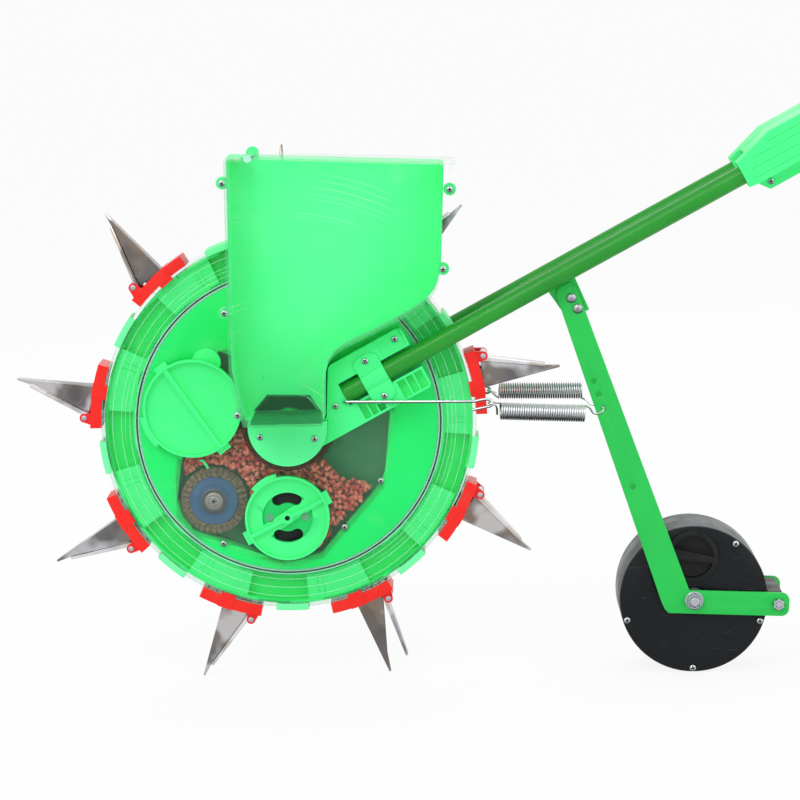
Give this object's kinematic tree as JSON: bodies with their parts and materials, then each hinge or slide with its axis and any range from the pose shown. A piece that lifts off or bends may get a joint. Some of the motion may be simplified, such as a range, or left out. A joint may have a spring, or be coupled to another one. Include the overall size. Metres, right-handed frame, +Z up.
{
  "type": "walk-behind seed planter",
  "caption": "Walk-behind seed planter: a beaked planting drum with a seed hopper, a long two-tube handle and a sprung press wheel.",
  "frame": {"origin": "centre of the footprint on the ground, under the middle of the machine's length", "axes": "+X along the row towards the handle and press wheel, -Y the hopper side, +Z up"},
  "size_m": [1.3541, 0.42, 0.8334],
  "materials": {
    "mint_plastic": "moulded, satin",
    "green_plastic": "moulded, glossy",
    "clear_plastic": "clear moulded plastic",
    "green_tube": "powder coat, glossy",
    "green_strut": "powder coat, satin",
    "red_plastic": "moulded, glossy",
    "bright_steel": "polished sheet",
    "zinc_steel": "zinc plated",
    "black_rubber": "matt",
    "black_plastic": "moulded, satin",
    "wheel_tread": "dusty, satin",
    "blue_plastic": "moulded, glossy",
    "bristle": "stiff fibre",
    "seed": "loose seed"
  },
  "bodies": {
    "frame": {"hub_sleeve": "green_plastic", "axle_bolt": "zinc_steel", "chamber_pan": "green_plastic", "chamber_window": "clear_plastic", "hub_ring": "black_rubber", "hub_cap": "mint_plastic", "vent_plug": "mint_plastic", "seed_charge": "seed", "hopper_shell": "mint_plastic", "hopper_cover": "clear_plastic", "bracket_near": "mint_plastic", "bracket_far": "mint_plastic", "tube_saddles": "mint_plastic", "frame_screws": "zinc_steel", "handle_tube_near": "green_tube", "handle_tube_far": "green_tube", "coupling_near": "mint_plastic", "coupling_far": "mint_plastic", "upper_tube_near": "green_tube", "upper_tube_far": "green_tube", "grip_near": "black_rubber", "grip_far": "black_rubber", "strut_bracket": "green_strut", "spring_rods": "zinc_steel", "spring_near": "zinc_steel", "spring_far": "zinc_steel"},
    "drum": {"drive_disc": "green_plastic", "pocket_ring": "green_plastic", "side_ring": "clear_plastic", "rim_band": "clear_plastic", "rim_cleats": "mint_plastic", "beak_holders": "red_plastic", "fixed_jaws": "bright_steel", "jaw_pins": "zinc_steel", "jaw_springs": "zinc_steel"},
    "jaw_1": {"moving_jaw_1": "bright_steel"},
    "jaw_2": {"moving_jaw_2": "bright_steel"},
    "jaw_3": {"moving_jaw_3": "bright_steel"},
    "jaw_4": {"moving_jaw_4": "bright_steel"},
    "jaw_5": {"moving_jaw_5": "bright_steel"},
    "jaw_6": {"moving_jaw_6": "bright_steel"},
    "jaw_7": {"moving_jaw_7": "bright_steel"},
    "jaw_8": {"moving_jaw_8": "bright_steel"},
    "jaw_9": {"moving_jaw_9": "bright_steel"},
    "metering": {"metering_roller": "black_plastic", "metering_pinion": "mint_plastic"},
    "brush": {"brush_disc": "blue_plastic", "brush_bristles": "bristle", "brush_shaft": "zinc_steel"},
    "metering_cover": {"metering_cap": "mint_plastic"},
    "access_cover": {"access_cap": "mint_plastic"},
    "lid": {"hopper_lid": "clear_plastic"},
    "strut": {"strut_bars": "green_strut", "pivot_bolts": "zinc_steel", "scraper": "black_plastic", "wheel_axle": "zinc_steel"},
    "wheel": {"press_wheel": "wheel_tread", "wheel_cover": "wheel_tread", "wheel_screws": "zinc_steel"},
    "filler": {"filler_cap": "black_plastic"}
  },
  "joints": [
    {"name": "drum_spin", "type": "hinge", "parent": "frame", "child": "drum", "pos_m": [-0.40118, 0, 0.26311], "axis": [0, 1, 0], "continuous": true},
    {"name": "jaw_1_open", "type": "hinge", "parent": "drum", "child": "jaw_1", "pos_m": [-0.30523, 0, 0.07879], "axis": [0, -1, 0], "range_deg": [-16.4, 0], "stiffness_Nm_per_rad": 0.25, "springref_deg": -37.24},
    {"name": "jaw_2_open", "type": "hinge", "parent": "drum", "child": "jaw_2", "pos_m": [-0.20919, 0, 0.18359], "axis": [0, -1, 0], "range_deg": [0, 16.4], "stiffness_Nm_per_rad": 0.25, "springref_deg": -20.05},
    {"name": "jaw_3_open", "type": "hinge", "parent": "drum", "child": "jaw_3", "pos_m": [-0.20299, 0, 0.3256], "axis": [0, -1, 0], "range_deg": [0, 16.4], "stiffness_Nm_per_rad": 0.25, "springref_deg": -20.05},
    {"name": "jaw_4_open", "type": "hinge", "parent": "drum", "child": "jaw_4", "pos_m": [-0.28953, 0, 0.43837], "axis": [0, -1, 0], "range_deg": [0, 16.4], "stiffness_Nm_per_rad": 0.25, "springref_deg": -20.05},
    {"name": "jaw_5_open", "type": "hinge", "parent": "drum", "child": "jaw_5", "pos_m": [-0.4283, 0, 0.46914], "axis": [0, -1, 0], "range_deg": [0, 16.4], "stiffness_Nm_per_rad": 0.25, "springref_deg": -20.05},
    {"name": "jaw_6_open", "type": "hinge", "parent": "drum", "child": "jaw_6", "pos_m": [-0.55438, 0, 0.4035], "axis": [0, -1, 0], "range_deg": [0, 16.4], "stiffness_Nm_per_rad": 0.25, "springref_deg": -20.05},
    {"name": "jaw_7_open", "type": "hinge", "parent": "drum", "child": "jaw_7", "pos_m": [-0.60878, 0, 0.27218], "axis": [0, -1, 0], "range_deg": [0, 16.4], "stiffness_Nm_per_rad": 0.25, "springref_deg": -20.05},
    {"name": "jaw_8_open", "type": "hinge", "parent": "drum", "child": "jaw_8", "pos_m": [-0.56603, 0, 0.13661], "axis": [0, -1, 0], "range_deg": [0, 16.4], "stiffness_Nm_per_rad": 0.25, "springref_deg": -20.05},
    {"name": "jaw_9_open", "type": "hinge", "parent": "drum", "child": "jaw_9", "pos_m": [-0.44615, 0, 0.06024], "axis": [0, -1, 0], "range_deg": [0, 16.4], "stiffness_Nm_per_rad": 0.25, "springref_deg": -20.05},
    {"name": "metering_spin", "type": "hinge", "parent": "frame", "child": "metering", "pos_m": [-0.40508, 0, 0.16694], "axis": [0, 1, 0], "continuous": true},
    {"name": "brush_spin", "type": "hinge", "parent": "frame", "child": "brush", "pos_m": [-0.47974, 0, 0.18435], "axis": [0, 1, 0], "continuous": true},
    {"name": "metering_cap_turn", "type": "hinge", "parent": "frame", "child": "metering_cover", "pos_m": [-0.40508, 0, 0.16694], "axis": [0, -1, 0], "range_deg": [0, 30]},
    {"name": "access_cap_turn", "type": "hinge", "parent": "frame", "child": "access_cover", "pos_m": [-0.49768, 0, 0.28126], "axis": [0, -1, 0], "range_deg": [0, 30]},
    {"name": "lid_swing", "type": "hinge", "parent": "frame", "child": "lid", "pos_m": [-0.42924, 0, 0.5369], "axis": [0, -1, 0], "range_deg": [0, 110]},
    {"name": "strut_swing", "type": "hinge", "parent": "frame", "child": "strut", "pos_m": [-0.11304, 0, 0.38278], "axis": [0, -1, 0], "range_deg": [0, 18], "stiffness_Nm_per_rad": 12, "springref_deg": -38.39, "deforming": ["spring_near", "spring_far"]},
    {"name": "wheel_spin", "type": "hinge", "parent": "strut", "child": "wheel", "pos_m": [0.00433, 0, 0.075], "axis": [0, 1, 0], "continuous": true},
    {"name": "filler_cap_turn", "type": "hinge", "parent": "wheel", "child": "filler", "pos_m": [0.00349, 0, 0.11928], "axis": [0, -1, 0], "range_deg": [0, 90]}
  ],
  "couplings": [
    {"joint": "metering_spin", "follows": "drum_spin", "ratio": 3.8519},
    {"joint": "brush_spin", "follows": "drum_spin", "ratio": 6.9333}
  ]
}
